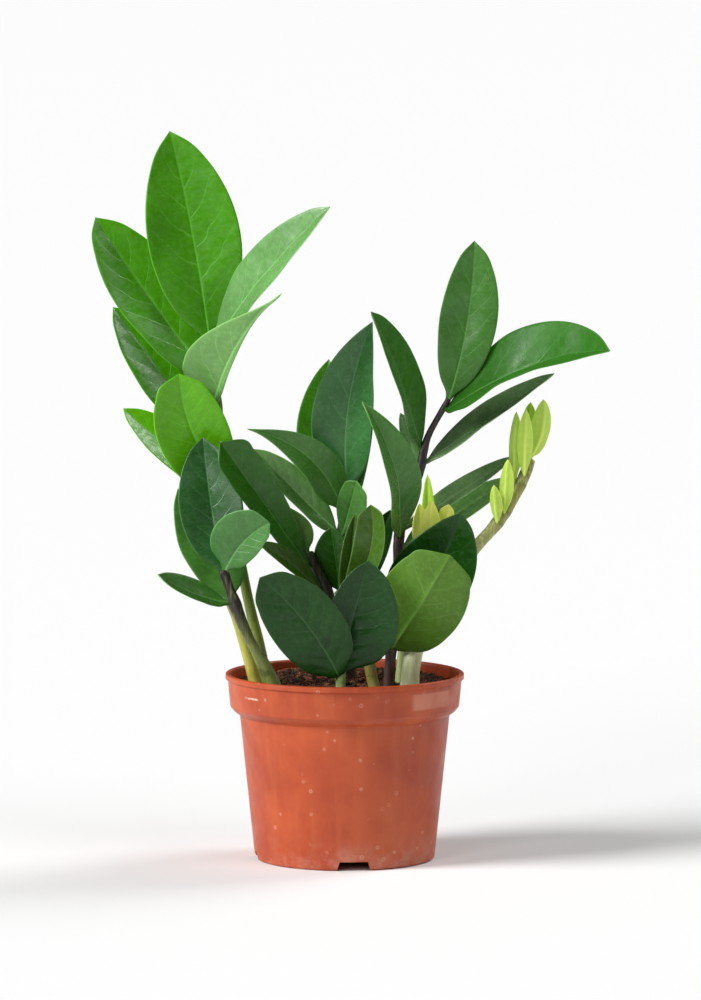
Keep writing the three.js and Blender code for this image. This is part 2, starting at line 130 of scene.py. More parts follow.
# Least and greatest sizes of loose pieces of potting mix, in millimetres.
CRUMB_SIZE = (0.5, 1.9)
BARK_LENGTH = (3, 8)
BARK_WIDTH = (1.5, 3.5)
BARK_THICKNESS = (0.8, 1.8)
FIBRE_LENGTH = (4, 10)
FIBRE_WIDTH = 0.5 * MM
FIBRE_THICKNESS = 0.4 * MM
LOOSE_RISE = (-0.1, 0.9)
# How far loose pieces keep from the wall of the pot.
LOOSE_MARGIN = 1.2 * MM

# Far enough for the floor to meet the white surroundings unseen.
FLOOR_REACH = 80.0
FLOOR_TONE = 0.86

# The camera's tilt is in degrees and its focal length in millimetres.
CAMERA_DISTANCE = 3.0
CAMERA_TILT = 5.56
CAMERA_AIM = (0.0029, 0.0, 0.181)
CAMERA_LENS = 215.4
CAMERA_CLIP = 200

BACKDROP_STRENGTH = 1.0
AMBIENT_STRENGTH = 0.12
# Where each light comes from, its strength and its spread in degrees.
LIGHTS = {
    "key": ((-0.9, -0.36, 0.6), 3.7, 26),
    "glint": ((-0.55, -1.0, 0.5), 0.5, 18),
    "fill": ((0.8, -0.75, 1.1), 0.45, 30),
    "back": ((0.8, 0.5, 0.9), 1.2, 26),
}


def linear(code):
    """Linear colour of a six-digit sRGB code."""
    parts = [int(code[i:i + 2], 16) / 255 for i in (0, 2, 4)]
    return tuple(c / 12.92 if c <= 0.04045 else ((c + 0.055) / 1.055) ** 2.4 for c in parts)


# Colours of the upper and lower face, how waxy the skin is, and how strongly it shines.
LEAF_LOOKS = {
    "bright": ("428c00", "60a21c", 0.15, 0.34),
    "lime": ("58a400", "74b420", 0.0, 0.34),
    "waxy": ("62964e", "80ac6c", 0.8, 0.34),
    "silver": ("6a9c50", "8ab474", 0.7, 0.34),
    "leafy": ("42782a", "64923e", 0.4, 0.34),
    "middle": ("386e20", "5c8834", 0.35, 0.34),
    "blue": ("356e33", "608458", 1.0, 0.34),
    "teal": ("22551f", "527846", 0.9, 0.34),
    "jade": ("467c38", "80a874", 0.8, 0.34),
    "forest": ("2f6a18", "4c7a30", 0.1, 0.1),
    "deep": ("16430a", "4c7030", 0.2, 0.24),
    "front": ("143f0d", "4c7236", 0.2, 0.24),
    "inner": ("286206", "4a8a18", 0.1, 0.34),
    "olive": ("3f6414", "527a24", 0.2, 0.34),
    "grey": ("587a48", "80a06c", 0.8, 0.34),
    "bud": ("f2ff68", "f4ff70", 0.0, 0.34),
    "shoot": ("a8d23c", "bce05a", 0.0, 0.34),
}
# The look of every leaflet of a stem, and of the single leaflets that differ from the rest.
LEAF_PALETTE = {
    "tall": "bright", "tall_leaf_3": "waxy", "tall_leaf_4": "silver", "tall_leaf_5": "lime",
    "tall_leaf_7": "lime",
    "dark": "teal", "dark_leaf_2": "jade", "dark_leaf_3": "middle", "yellow": "leafy",
    "middle_low": "inner", "middle_low_leaf_2": "deep", "middle_low_leaf_3": "olive", "middle_high": "leafy",
    "middle_high_leaf_1": "blue", "middle_high_leaf_2": "bright",
    "middle_high_leaf_5": "silver", "middle_high_leaf_6": "inner", "front": "deep", "front_leaf_2": "front",
    "olive": "olive", "olive_leaf_2": "deep",
    "right": "middle", "right_leaf_1": "leafy", "right_leaf_2": "forest", "right_leaf_4": "grey",
    "right_leaf_5": "leafy", "right_leaf_6": "waxy", "right_leaf_7": "grey", "right_leaf_8": "silver",
    "right_leaf_9": "olive", "right_leaf_10": "deep", "bud": "bud", "bud_leaf_4": "shoot", "shoot": "shoot",
}

# What differs between the faces of a leaflet: the half widths of its side veins, in vein spacings, and of
# its midrib in millimetres, how pale the side veins are, the range of roughness and the share of the shine.
FACE_LOOKS = {
    "upper": {"vein": 0.045, "rib": 0.62, "pale": 0.5, "rough": (0.2, 0.44), "shine": 1.0},
    "lower": {"vein": 0.06, "rib": 0.9, "pale": 0.35, "rough": (0.38, 0.55), "shine": 0.7},
}
# How strongly painted shade darkens a leaflet towards its petiole, and how pale its midrib and its margin
# are.
PAINTED_SHADE_DARK = 0.6
RIB_PALE = 0.7
MARGIN_PALE = 0.45

# Colour at the foot and at the top of each stem, and how strongly it is blotched.
STEM_LOOKS = {
    "tall": ("7a8438", "5d7a22", 0.35),
    "yellow": ("b4ac4c", "a0a440", 0.3),
    "dark": ("7f8c44", "2a1f22", 0.6),
    "middle_low": ("5a5a30", "26241a", 0.5),
    "middle_high": ("5a4a30", "3c4a22", 0.5),
    "front": ("93a468", "7f9656", 0.25),
    "olive": ("857a3c", "5f6a2e", 0.45),
    "right": ("4a332b", "262020", 0.5),
    "bud": ("b5c582", "a5bb58", 0.2),
    "shoot": ("ccd4a4", "929446", 0.08),
}

# Dark and light colour of each kind of potting mix, and of the dust on all of them.
SOIL_COLOURS = {
    "body": ("160d08", "3a271b"),
    "crumbs": ("1d110b", "5c3d2a"),
    "bark": ("4a2416", "9a5a3e"),
    "fibres": ("5a3d28", "a07a55"),
}
SOIL_DUST = "8a6a50"

# Colours of the pot's plastic, and of the marks on it with how strongly each shows.
POT_DARK = "9e3812"
POT_LIGHT = "b64c1f"
POT_STREAK = "d0703e"
POT_MARKS = {
    "flecks": ("dcae90", 0.32),
    "haze": ("c99a86", 0.45),
    "stain": ("d08e78", 0.6),
    "scratch": ("eac2ae", 0.7),
}


# ---------------------------------------------------------------- reading the frame

def welded(node):
    """The separate points of a CAD node, and the points that each one shares an edge with."""
    mesh = NODES[node].data
    index = {}
    links = defaultdict(set)
    for face in mesh.polygons:
        corners = [index.setdefault(tuple(mesh.vertices[v].co), len(index)) for v in face.vertices]
        for a in corners:
            links[a].update(b for b in corners if b != a)
    return np.array(list(index)), links


def rings_from(start, links, size):
    """Rings of point numbers met on the way out from a pole, each in order round its loop."""
    seen = {start}
    rings = []
    level = set(links[start])
    while len(level) == size:
        seen |= level
        first = min(level)
        loop = [first, min(links[first] & level)]
        while len(loop) < size:
            loop.append(next(p for p in links[loop[-1]] & level if p not in loop))
        rings.append(loop)
        level = set().union(*(links[p] for p in level)) - seen
    return rings


def spline(knots, values, samples):
    """Smooth curve through values at knots, read at samples."""
    column = (-1, *[1] * (values.ndim - 1))
    steps = np.diff(knots)
    slopes = np.diff(values, axis=0) / steps.reshape(column)
    tangents = np.empty_like(values)
    tangents[0] = slopes[0]
    tangents[-1] = slopes[-1]
    for k in range(1, len(knots) - 1):
        before, after = steps[k - 1], steps[k]
        tangents[k] = (slopes[k - 1] * after + slopes[k] * before) / (before + after)
    cell = np.clip(np.searchsorted(knots, samples, side="right") - 1, 0, len(steps) - 1)
    h = steps[cell].reshape(column)
    t = ((samples - knots[cell]) / steps[cell]).reshape(column)
    low, high = values[cell], values[cell + 1]
    return (
        low * (2 * t**3 - 3 * t**2 + 1)
        + high * (3 * t**2 - 2 * t**3)
        + tangents[cell] * h * (t**3 - 2 * t**2 + t)
        + tangents[cell + 1] * h * (t**3 - t**2)
    )


def unit(vectors):
    """Vectors scaled to length 1."""
    return vectors / np.maximum(np.linalg.norm(vectors, axis=-1, keepdims=True), 1e-12)


def node_surface(node):
    """A CAD node as a tree that rays can be cast at."""
    mesh = NODES[node].data
    return BVHTree.FromPolygons([v.co for v in mesh.vertices], [p.vertices for p in mesh.polygons])


# ---------------------------------------------------------------- making pieces

def add_piece(name, points, faces, materials, replaced=(), face_materials=None, values=None):
    """A smooth mesh piece that rides with the plant, with named values at its points."""
    mesh = bpy.data.meshes.new(name)
    mesh.from_pydata([tuple(p) for p in points], [], faces)
    for material in materials:
        mesh.materials.append(material)
    if face_materials is not None:
        mesh.polygons.foreach_set("material_index", face_materials)
    mesh.polygons.foreach_set("use_smooth", [True] * len(mesh.polygons))
    for key, data in (values or {}).items():
        flat = np.asarray(data, dtype=np.float32)
        kind = "FLOAT" if flat.ndim == 1 else "FLOAT_VECTOR"
        layer = mesh.attributes.new(key, kind, "POINT")
        layer.data.foreach_set("value" if flat.ndim == 1 else "vector", flat.ravel())
    mesh.update()
    piece = bpy.data.objects.new(name, mesh)
    bpy.context.scene.collection.objects.link(piece)
    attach(piece, "root")
    if replaced:
        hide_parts(*replaced)
    return piece


def tube_faces(rings, sides):
    """Faces of a tube whose points run ring by ring."""
    faces = []
    for ring in range(rings - 1):
        for side in range(sides):
            a, b = ring * sides + side, ring * sides + (side + 1) % sides
            faces.append((a, b, b + sides, a + sides))
    return faces


class Shader:
    """Short calls for building one node material."""

    def __init__(self, name):
        self.material = bpy.data.materials.new(name)
        self.material.use_nodes = True
        self.tree = self.material.node_tree
        self.bsdf = self.tree.nodes["Principled BSDF"]

    def node(self, kind, inputs=(), **settings):
        """A new node with its inputs fed and its settings made."""
        made = self.tree.nodes.new(kind)
        for key, value in settings.items():
            setattr(made, key, value)
        for key, value in dict(inputs).items():
            self.feed(made.inputs[key], value)
        return made

    def feed(self, socket, value):
        """Links a socket to another one, or gives it a plain value."""
        if isinstance(value, bpy.types.NodeSocket):
            self.tree.links.new(value, socket)
        elif socket.type == "RGBA" and len(value) == 3:
            socket.default_value = (*value, 1)
        else:
            socket.default_value = value

    def set(self, **values):
        """Feeds inputs of the surface itself."""
        for key, value in values.items():
            self.feed(self.bsdf.inputs[key.replace("_", " ")], value)

    def attribute(self, name, output="Fac"):
        """A named value of the mesh's points."""
        return self.node("ShaderNodeAttribute", attribute_name=name).outputs[output]

    def math(self, operation, first, second=0.0):
        """One step of arithmetic."""
        made = self.node("ShaderNodeMath", operation=operation)
        self.feed(made.inputs[0], first)
        self.feed(made.inputs[1], second)
        return made.outputs[0]

    def times(self, first, second):
        """First times second."""
        return self.math("MULTIPLY", first, second)

    def plus(self, first, second):
        """First plus second."""
        return self.math("ADD", first, second)

    def minus(self, first, second):
        """First minus second."""
        return self.math("SUBTRACT", first, second)

    def gap(self, first, second):
        """How far two values are apart."""
        return self.math("ABSOLUTE", self.minus(first, second))

    def ramp(self, value, low, high, start=0.0, end=1.0):
        """A smooth step from start, where the value is low, to end, where it is high."""
        inputs = {"Value": value, "From Min": low, "From Max": high, "To Min": start, "To Max": end}
        return self.node("ShaderNodeMapRange", inputs, interpolation_type="SMOOTHSTEP").outputs[0]

    def mix(self, factor, first, second):
        """One colour faded into another."""
        made = self.node("ShaderNodeMix", data_type="RGBA", blend_type="MIX")
        for place, value in ((0, factor), (6, first), (7, second)):
            self.feed(made.inputs[place], value)
        return made.outputs[2]

    def place(self, scale=(1, 1, 1)):
        """Place on the object, stretched."""
        source = self.node("ShaderNodeTexCoord").outputs["Object"]
        return self.node("ShaderNodeMapping", {"Vector": source, "Scale": scale}).outputs[0]

    def noise(self, scale, detail=3.0, vector=None, rough=0.5, distortion=0.0):
        """Cloudy values round 0.5, with scale patches to the metre."""
        inputs = {"Scale": scale, "Detail": detail, "Roughness": rough, "Distortion": distortion}
        inputs["Vector"] = vector or self.place()
        return self.node("ShaderNodeTexNoise", inputs).outputs["Fac"]

    def bump(self, height, strength, distance):
        """Fine relief of the surface."""
        inputs = {"Height": height, "Strength": strength, "Distance": distance}
        self.set(Normal=self.node("ShaderNodeBump", inputs).outputs[0])


# ---------------------------------------------------------------- leaflets

def leaf_material(name, face, look):
    """Waxy leaflet skin: mottled green, painted shade near the petiole, pale midrib and side veins, thin pale
    margin, uneven gloss.
    """
    upper = face == "upper"
    own = FACE_LOOKS[face]
    base = linear(look[0] if upper else look[1])
    wax, shine = look[2:]
    pale = tuple(min(1.0, 1.7 * c + 0.03 + 0.03 * wax) for c in base)
    # This darker tone serves both the mottling and the painted shade near the petiole.
    dark = tuple((0.72 if wax else 0.85) * c for c in base)
    s = Shader(name)
    broad = s.noise(45, 3)
    fine = s.noise(420, 3)
    skin = s.mix(s.ramp(broad, 0.3, 0.7, 0.35, 1.0), dark, base)
    skin = s.mix(s.ramp(fine, 0.4, 0.75, 0.0, 0.2), skin, pale)
    # Painted shade: the skin darkens towards the petiole, deep inside the plant.
    skin = s.mix(s.times(s.attribute("painted_shade"), PAINTED_SHADE_DARK), skin, dark)
    wander = s.times(s.minus(s.noise(90, 2), 0.5), 0.5)
    phase = s.math("FRACT", s.plus(s.attribute("vein_phase"), wander))
    line = s.ramp(s.gap(phase, 0.5), 0.0, own["vein"], 1.0, 0.0)
    line = s.times(line, s.attribute("vein_fade"))
    skin = s.mix(s.times(line, own["pale"]), skin, pale)
    rib = s.ramp(s.attribute("rib_mm"), 0.25, own["rib"], 1.0, 0.0)
    rib = s.times(rib, s.attribute("rib_fade"))
    skin = s.mix(s.times(rib, RIB_PALE), skin, pale)
    margin = s.ramp(s.attribute("rim_mm"), 0.12, 0.55, 1.0, 0.0)
    skin = s.mix(s.times(margin, MARGIN_PALE), skin, tuple(1.15 * c for c in pale))
    s.set(Base_Color=skin)
    streak = s.noise(110, 5, vector=s.attribute("streak_place", "Vector"), rough=0.65, distortion=0.6)
    rough = s.ramp(streak, 0.38, 0.64, *own["rough"])
    s.set(Roughness=rough, IOR=1.5, Specular_IOR_Level=own["shine"] * shine)
    if upper:
        s.set(Coat_Weight=0.05 + 0.15 * wax, Coat_Roughness=0.25)
    relief = s.plus(s.times(fine, 0.35), s.times(s.noise(1400, 2), 0.25))
    relief = s.minus(relief, s.times(s.plus(line, rib), 0.55))
    s.bump(relief, 0.35, 0.0004)
    return s.material


LEAF_MATERIALS = {
    look: [leaf_material(f"leaf_{look}_{face}", face, values) for face in ("upper", "lower")]
    for look, values in LEAF_LOOKS.items()
}


def leaf_cage(node):
    """(petiole end, tip, rings): each ring is a rim, five upper points, the other rim, three lower points."""
    points, links = welded(node)
    size = len(CAGE_UPPER) + len(CAGE_LOWER) - 2
    poles = [p for p in links if len(links[p]) == size]
    reach = {p: np.mean([np.linalg.norm(points[q] - points[p]) for q in links[p]]) for p in poles}
    first, last = sorted(poles, key=reach.get)
    loops = [points[loop] for loop in rings_from(first, links, size)]
    widest = max(range(len(loops)), key=lambda k: np.ptp(loops[k], axis=0).sum())
    turns = [np.roll(loops[widest], -k, axis=0) for k in range(size)]
    far_side = len(CAGE_UPPER) - 1
    loops[widest] = max(turns, key=lambda loop: np.linalg.norm(loop[0] - loop[far_side]))
    for step in (1, -1):
        k = widest + step
        while 0 <= k < len(loops):
            model = loops[k - step] - loops[k - step].mean(axis=0)
            turned = [np.roll(way, t, axis=0) for way in (loops[k], loops[k][::-1]) for t in range(size)]
            loops[k] = min(turned, key=lambda loop: np.linalg.norm(loop - loop.mean(axis=0) - model))
            k += step
    ring = loops[widest]
    along = loops[min(widest + 1, len(loops) - 1)].mean(axis=0) - loops[widest - 1].mean(axis=0)
    middle = len(CAGE_UPPER) // 2
    facing = ring[middle] - ring[far_side + (size - far_side) // 2]
    if np.dot(ring[far_side] - ring[0], np.cross(along, facing)) < 0:
        upper = list(range(far_side, -1, -1))
        lower = list(range(size - 1, far_side, -1))
        loops = [loop[upper + lower] for loop in loops]
    return points[first], points[last], loops


def leaf_sheet(cage, root):
    """(grid, distance, start): the middle surface of a leaflet from inside its stem to its tip, as rows of
    points, with how far along each row is and where the leaflet leaves its stem."""
    base, tip, loops = cage
    far_side = len(CAGE_UPPER) - 1
    rows = []
    for loop in loops:
        upper = spline(CAGE_UPPER, loop[:far_side + 1], ACROSS)
        below = np.vstack([loop[:1], loop[far_side + 1:][::-1], loop[far_side:far_side + 1]])
        under = spline(CAGE_LOWER, below, ACROSS)
        rows.append((upper + under) / 2)
    middle = len(ACROSS) // 2
    shape = rows[0] - rows[0][middle]
    petiole = [root + ROOT_SHARE * shape, base + BASE_SHARE * shape]
    rows = petiole + rows + [np.repeat(tip[None], len(ACROSS), axis=0)]
    rows = np.array(rows)
    knots = np.concatenate([[0], np.cumsum(np.linalg.norm(np.diff(rows[:, middle], axis=0), axis=1))])
    ease = np.linspace(0, 1, ALONG_COUNT)
    samples = knots[-1] * (ease - ROW_EASE * np.sin(2 * math.pi * ease) / (2 * math.pi))
    sheet = spline(knots, rows, samples)
    sheet[-1] = tip
    return sheet, samples, knots[1]


def leaf_wave(distance, reach, seed):
    """Slight waviness of a blade, between -1 and 1, from the distance along it and the reach across it."""
    wave = np.zeros(reach.shape)
    for i, row in enumerate(reach):
        for j, side in enumerate(row):
            spot = Vector((distance[i] * WAVES_ALONG, side * WAVES_ACROSS, seed * WAVE_SHIFT))
            wave[i, j] = noise.noise(spot)
    return wave


def under_point(i, j, rows, columns):
    """Number of a point of a blade's lower face, which shares its rims with the upper face."""
    if j in (0, columns - 1):
        return i * columns + j
    return rows * columns + i * (columns - 2) + j - 1


def blade_faces(rows, columns):
    """Faces of both sides of a blade, and 0 for each upper one and 1 for each lower one."""
    faces, kinds = [], []
    for i in range(rows - 1):
        for j in range(columns - 1):
            a, b = i * columns + j, (i + 1) * columns + j
            faces.append((a, a + 1, b + 1, b))
            corners = ((i, j), (i + 1, j), (i + 1, j + 1), (i, j + 1))
            faces.append(tuple(under_point(*corner, rows, columns) for corner in corners))
            kinds += [0, 1]
    return faces, kinds


def at_points(grid, shape):
    """Values on a blade's grid in the order of its points: the upper face, then the lower one."""
    grid = np.broadcast_to(grid, shape)
    return np.concatenate([grid.ravel(), grid[:, 1:-1].ravel()])


def build_leaf(node, root, seed):
    """Replaces one CAD leaflet by a fine blade with a grooved midrib, pillowed veins and a round margin."""
    sheet, distance, start = leaf_sheet(leaf_cage(node), root)
    length = distance[-1] - start
    u = np.clip((distance - start) / length, 0, 1)[:, None]
    v = ACROSS[None, :]
    along = unit(np.gradient(sheet, axis=0))
    across = np.gradient(sheet, axis=1)
    across[-1] = across[-2]
    up = unit(np.cross(unit(across), along))
    half_width = np.linalg.norm(sheet[:, -1] - sheet[:, 0], axis=1)[:, None] / 2
    blade = np.clip(u / PETIOLE_SHARE, 0, 1)
    blade = blade * blade * (3 - 2 * blade)
    from_rib = np.abs(v) * half_width
    end_fade = np.sin(math.pi * u) ** 0.5

    phase = (u - VEIN_RAKE * np.abs(v) ** 1.2) * SIDE_VEINS + VEIN_OFFSET * (v > 0) + VEIN_SHIFT * seed
    dip = np.exp(-(((phase - np.floor(phase)) - 0.5) / VEIN_WIDTH) ** 2)
    pillow = VEIN_DEPTH * dip * (1 - v**2) * np.clip(from_rib / VEIN_START, 0, 1) * PUCKERED.get(node, 1.0)
    groove = RIB_DEPTH * np.exp(-((from_rib / RIB_WIDTH) ** 2))
    wave = leaf_wave(distance, v * half_width, seed)
    wave *= np.minimum(WAVE_HEIGHT, WAVE_SHARE * half_width)

    half_thick = BLADE_HALF_THICKNESS * blade + PETIOLE_HALF_THICKNESS * (1 - blade)
    half_thick = half_thick * np.sqrt(np.clip(1 - np.abs(v) ** (2 + 5 * blade), 0, 1))
    half_thick = half_thick * np.clip((1 - u) / TIP_SHARE, TIP_THINNEST, 1)
    lift = (wave - (pillow + groove) * end_fade) * blade
    sink = lift - RIB_BELOW * groove * end_fade * blade
    top = sheet + up * (lift + half_thick)[..., None]
    under = sheet + up * (sink - half_thick)[..., None]
    top[:, [0, -1]] = (sheet + up * lift[..., None])[:, [0, -1]]
    top[-1] = under[-1] = sheet[-1]
    points = list(top.reshape(-1, 3)) + list(under[:, 1:-1].reshape(-1, 3))

    shape = sheet.shape[:2]
    faces, kinds = blade_faces(*shape)
    grids = {
        "vein_phase": phase,
        "vein_fade": np.clip(from_rib / (1.2 * MM), 0, 1) * (1 - np.abs(v)) ** 0.6 * end_fade * blade,
        "rib_mm": from_rib / MM,
        "rib_fade": np.clip(1.15 - u, 0, 1),
        "rim_mm": (1 - np.abs(v)) * half_width / MM + 3 * (1 - blade),
        # How much painted shade each point gets: 1 at the petiole, fading to 0 at 0.35 of the leaflet's
        # length.
        "painted_shade": np.clip(1 - u / 0.35, 0, 1),
    }
    values = {key: at_points(grid, shape) for key, grid in grids.items()}
    streak_place = (distance[:, None] * 3, v * half_width, np.full_like(u, seed))
    values["streak_place"] = np.stack([at_points(grid, shape) for grid in streak_place], 1)
    group = node.rsplit("_leaf_", 1)[0]
    look = LEAF_PALETTE.get(node, LEAF_PALETTE[group])
    piece = add_piece(f"{node}_blade", points, faces, LEAF_MATERIALS[look], [node], kinds, values)
    weld_ends(piece)


def weld_ends(piece):
    """Merges the points that share a place and closes what stays open."""
    shape = bmesh.new()
    shape.from_mesh(piece.data)
    bmesh.ops.remove_doubles(shape, verts=shape.verts, dist=WELD_GAP)
    bmesh.ops.holes_fill(shape, edges=[e for e in shape.edges if e.is_boundary])
    bmesh.ops.recalc_face_normals(shape, faces=shape.faces)
    shape.to_mesh(piece.data)
    shape.free()
    piece.data.polygons.foreach_set("use_smooth", [True] * len(piece.data.polygons))


# ---------------------------------------------------------------- stems

def stem_axis(node):
    """Centres and radii of a CAD stem, foot first, with its top."""
    points, links = welded(node)
    poles = sorted((p for p in links if len(links[p]) == STEM_CAGE), key=lambda p: points[p][2])
    loops = [points[loop] for loop in rings_from(poles[0], links, STEM_CAGE)]
    centres = np.array([loop.mean(axis=0) for loop in loops])
    radii = np.array([np.linalg.norm(loop - loop.mean(axis=0), axis=1).mean() for loop in loops])
    return centres, radii, points[poles[1]]


def nearest_on(centres, point):
    """Place on a stem's axis nearest to a point, a little below the stem's top at most."""
    last = len(centres) - 1
    fine = spline(np.arange(last + 1.0), centres, np.linspace(0, last - TOP_MARGIN, AXIS_STEPS))
    return fine[np.argmin(np.linalg.norm(fine - point, axis=1))]


def stem_material(name, look):
    """Fleshy stalk: a colour change from foot to top, blotches, fine pale lines along it and dark flecks."""
    s = Shader(name)
    foot, top = linear(look[0]), linear(look[1])
    skin = s.mix(s.ramp(s.attribute("height"), 0.12, 0.75), foot, top)
    blotch = s.ramp(s.noise(130, 4, rough=0.65), 0.52, 0.66, 0.0, look[2])
    skin = s.mix(blotch, skin, tuple(0.35 * c for c in top))
    lines = s.noise(900, 2, vector=s.place((1, 1, 0.06)))
    pale = tuple(min(1.0, 1.6 * c + 0.02) for c in foot)
    skin = s.mix(s.ramp(lines, 0.45, 0.75, 0.0, 0.35), skin, pale)
    specks = s.ramp(s.noise(700, 1), 0.7, 0.76, 0.0, 0.6)
    skin = s.mix(specks, skin, tuple(0.25 * c for c in foot))
    skin = s.mix(s.times(s.attribute("joint"), 0.55), skin, tuple(0.4 * c for c in top))
    s.set(Base_Color=skin, Roughness=s.ramp(s.noise(160), 0.3, 0.7, 0.34, 0.52), Specular_IOR_Level=0.45)
    s.bump(s.plus(lines, s.times(s.noise(500, 3), 0.6)), 0.25, 0.0004)
    return s.material


def build_stem(name, joints):
    """Replaces one CAD stem by a round stalk that swells a little where each leaflet joins it."""
    node = f"{name}_stem"
    centres, radii, top = stem_axis(node)
    knots = np.arange(len(centres), dtype=float)
    samples = np.linspace(0, knots[-1], STEM_RINGS)
    path = spline(knots, centres, samples)
    radius = spline(knots, radii, samples)
    along = unit(np.gradient(path, axis=0))
    side = unit(np.cross(np.tile([0.0, 1.0, 0.0], (STEM_RINGS, 1)), along))
    out = np.cross(along, side)
    swell = np.zeros(STEM_RINGS)
    collar = np.zeros(STEM_RINGS)
    for place in joints:
        gap = np.linalg.norm(path - place, axis=1)
        swell = np.maximum(swell, SWELL * np.exp(-((gap / SWELL_REACH) ** 2)))
        collar = np.maximum(collar, np.exp(-((gap / COLLAR_REACH) ** 2)))
    points, height, joint = [], [], []
    for k in range(STEM_RINGS):
        for turn in range(STEM_SIDES):
            angle = 2 * math.pi * turn / STEM_SIDES
            spot = Vector((math.cos(angle) * 2, math.sin(angle) * 2, samples[k]))
            ripple = 1 + STEM_RIPPLE * noise.noise(spot)
            reach = radius[k] * (1 + swell[k]) * ripple
            points.append(path[k] + reach * (math.cos(angle) * side[k] + math.sin(angle) * out[k]))
            height.append(k / (STEM_RINGS - 1))
            joint.append(collar[k])
    for step in range(1, STEM_DOME_RINGS + 1):
        turned = step / (STEM_DOME_RINGS + 1) * math.pi / 2
        centre = path[-1] + (top - path[-1]) * math.sin(turned)
        for turn in range(STEM_SIDES):
            angle = 2 * math.pi * turn / STEM_SIDES
            reach = radius[-1] * (1 + swell[-1]) * math.cos(turned)
            points.append(centre + reach * (math.cos(angle) * side[-1] + math.sin(angle) * out[-1]))
            height.append(1.0)
            joint.append(0.0)
    rings = STEM_RINGS + STEM_DOME_RINGS
    faces = tube_faces(rings, STEM_SIDES)
    points += [path[0], top]
    height += [0.0, 1.0]
    joint += [0.0, 0.0]
    low, high = len(points) - 2, len(points) - 1
    last = (rings - 1) * STEM_SIDES
    for t in range(STEM_SIDES):
        following = (t + 1) % STEM_SIDES
        faces.append((low, following, t))
        faces.append((high, last + t, last + following))
    material = stem_material(f"stem_{name}_skin", STEM_LOOKS[name])
    values = {"height": height, "joint": joint}
    piece = add_piece(f"{node}_stalk", points, faces, [material], [node], values=values)
    weld_ends(piece)


# ---------------------------------------------------------------- potting mix

def soil_material(name, kind):
    """Peat or bark: two earth colours and dusty grain."""
    s = Shader(name)
    dark, light = (linear(code) for code in SOIL_COLOURS[kind])
    skin = s.mix(s.ramp(s.noise(260, 5, rough=0.7), 0.38, 0.66), dark, light)
    skin = s.mix(s.ramp(s.noise(1500, 2), 0.6, 0.8, 0.0, 0.3), skin, linear(SOIL_DUST))
    s.set(Base_Color=skin, Roughness=0.95, Specular_IOR_Level=0.25)
    s.bump(s.noise(900, 5, rough=0.7), 0.8, 0.0008)
    return s.material


def scatter_spots(count, rng, surface, radius, level):
    """Random places on top of the potting mix."""
    spots = []
    while len(spots) < count:
        reach = radius * math.sqrt(rng.random())
        angle = rng.random() * 2 * math.pi
        above = Vector((reach * math.cos(angle), reach * math.sin(angle), level))
        spot = surface.ray_cast(above, Vector((0, 0, -1)))[0]
        if spot is not None:
            spots.append(spot)
    return spots


def lump(rng, size):
    """A small irregular closed lump: points round its middle and its faces."""
    shape = bmesh.new()
    bmesh.ops.create_icosphere(shape, subdivisions=1, radius=1)
    stretch = Vector((rng.uniform(0.7, 1.3), rng.uniform(0.7, 1.3), rng.uniform(0.5, 0.9))) * size
    turn = Matrix.Rotation(rng.random() * math.pi, 3, "Z") @ Matrix.Rotation(rng.random() * math.pi, 3, "X")
    points = []
    for vert in shape.verts:
        out = vert.co * rng.uniform(0.7, 1.25)
        points.append(turn @ Vector((out.x * stretch.x, out.y * stretch.y, out.z * stretch.z)))
    faces = [tuple(v.index for v in f.verts) for f in shape.faces]
    shape.free()
    return points, faces


def slab(rng, length, width, thick):
    """A broken chip or a fibre: a bent box with uneven corners."""
    turn = Matrix.Rotation(rng.random() * 2 * math.pi, 3, "Z")
    turn = turn @ Matrix.Rotation(rng.uniform(-0.5, 0.5), 3, "Y")
    bend = rng.uniform(-0.25, 0.25) * length
    points = []
    steps = (-0.5, -0.15, 0.2, 0.5)
    for step in steps:
        for y, z in ((-0.5, -0.5), (0.5, -0.5), (0.5, 0.5), (-0.5, 0.5)):
            worn = 0.7 if abs(step) == 0.5 else 1.0
            x = step * length * rng.uniform(0.9, 1.1)
            side = y * width * worn * rng.uniform(0.8, 1.2) + bend * (step * step - 0.1)
            points.append(turn @ Vector((x, side, z * thick * worn * rng.uniform(0.8, 1.2))))
    ends = [(3, 2, 1, 0), tuple(range(len(points) - 4, len(points)))]
    return points, ends + tube_faces(len(steps), 4)


def build_soil():
    """Crumbs of peat, bark chips and fibres over the CAD body of potting mix."""
    rng = random.Random(SOIL_SEED)
    surface = node_surface("soil")
    low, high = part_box("soil")
    level = high[2] + 5 * MM
    radius = (high[0] - low[0]) / 2 - LOOSE_MARGIN

    def size(limits):
        """A random size in metres between limits in millimetres."""
        return rng.uniform(*limits) * MM

    kinds = {
        "crumbs": (CRUMB_COUNT, lambda: lump(rng, size(CRUMB_SIZE))),
        "bark": (BARK_COUNT, lambda: slab(rng, size(BARK_LENGTH), size(BARK_WIDTH), size(BARK_THICKNESS))),
        "fibres": (FIBRE_COUNT, lambda: slab(rng, size(FIBRE_LENGTH), FIBRE_WIDTH, FIBRE_THICKNESS)),
    }
    for kind, (count, make) in kinds.items():
        points, faces = [], []
        for spot in scatter_spots(count, rng, surface, radius, level):
            shape, sides = make()
            first = len(points)
            rise = size(LOOSE_RISE)
            points += [p + spot + Vector((0, 0, rise)) for p in shape]
            faces += [tuple(first + k for k in side) for side in sides]
        name = f"soil_{kind}"
        piece = add_piece(name, points, faces, [soil_material(f"{name}_grain", kind)])
        piece.data.polygons.foreach_set("use_smooth", [False] * len(piece.data.polygons))
    repaint("soil", soil_material("soil_body", "body"))


def repaint(node, material):
    """Gives a CAD node that stays visible its finished material."""
    data = NODES[node].data
    data.materials.clear()
    data.materials.append(material)


# ---------------------------------------------------------------- pot

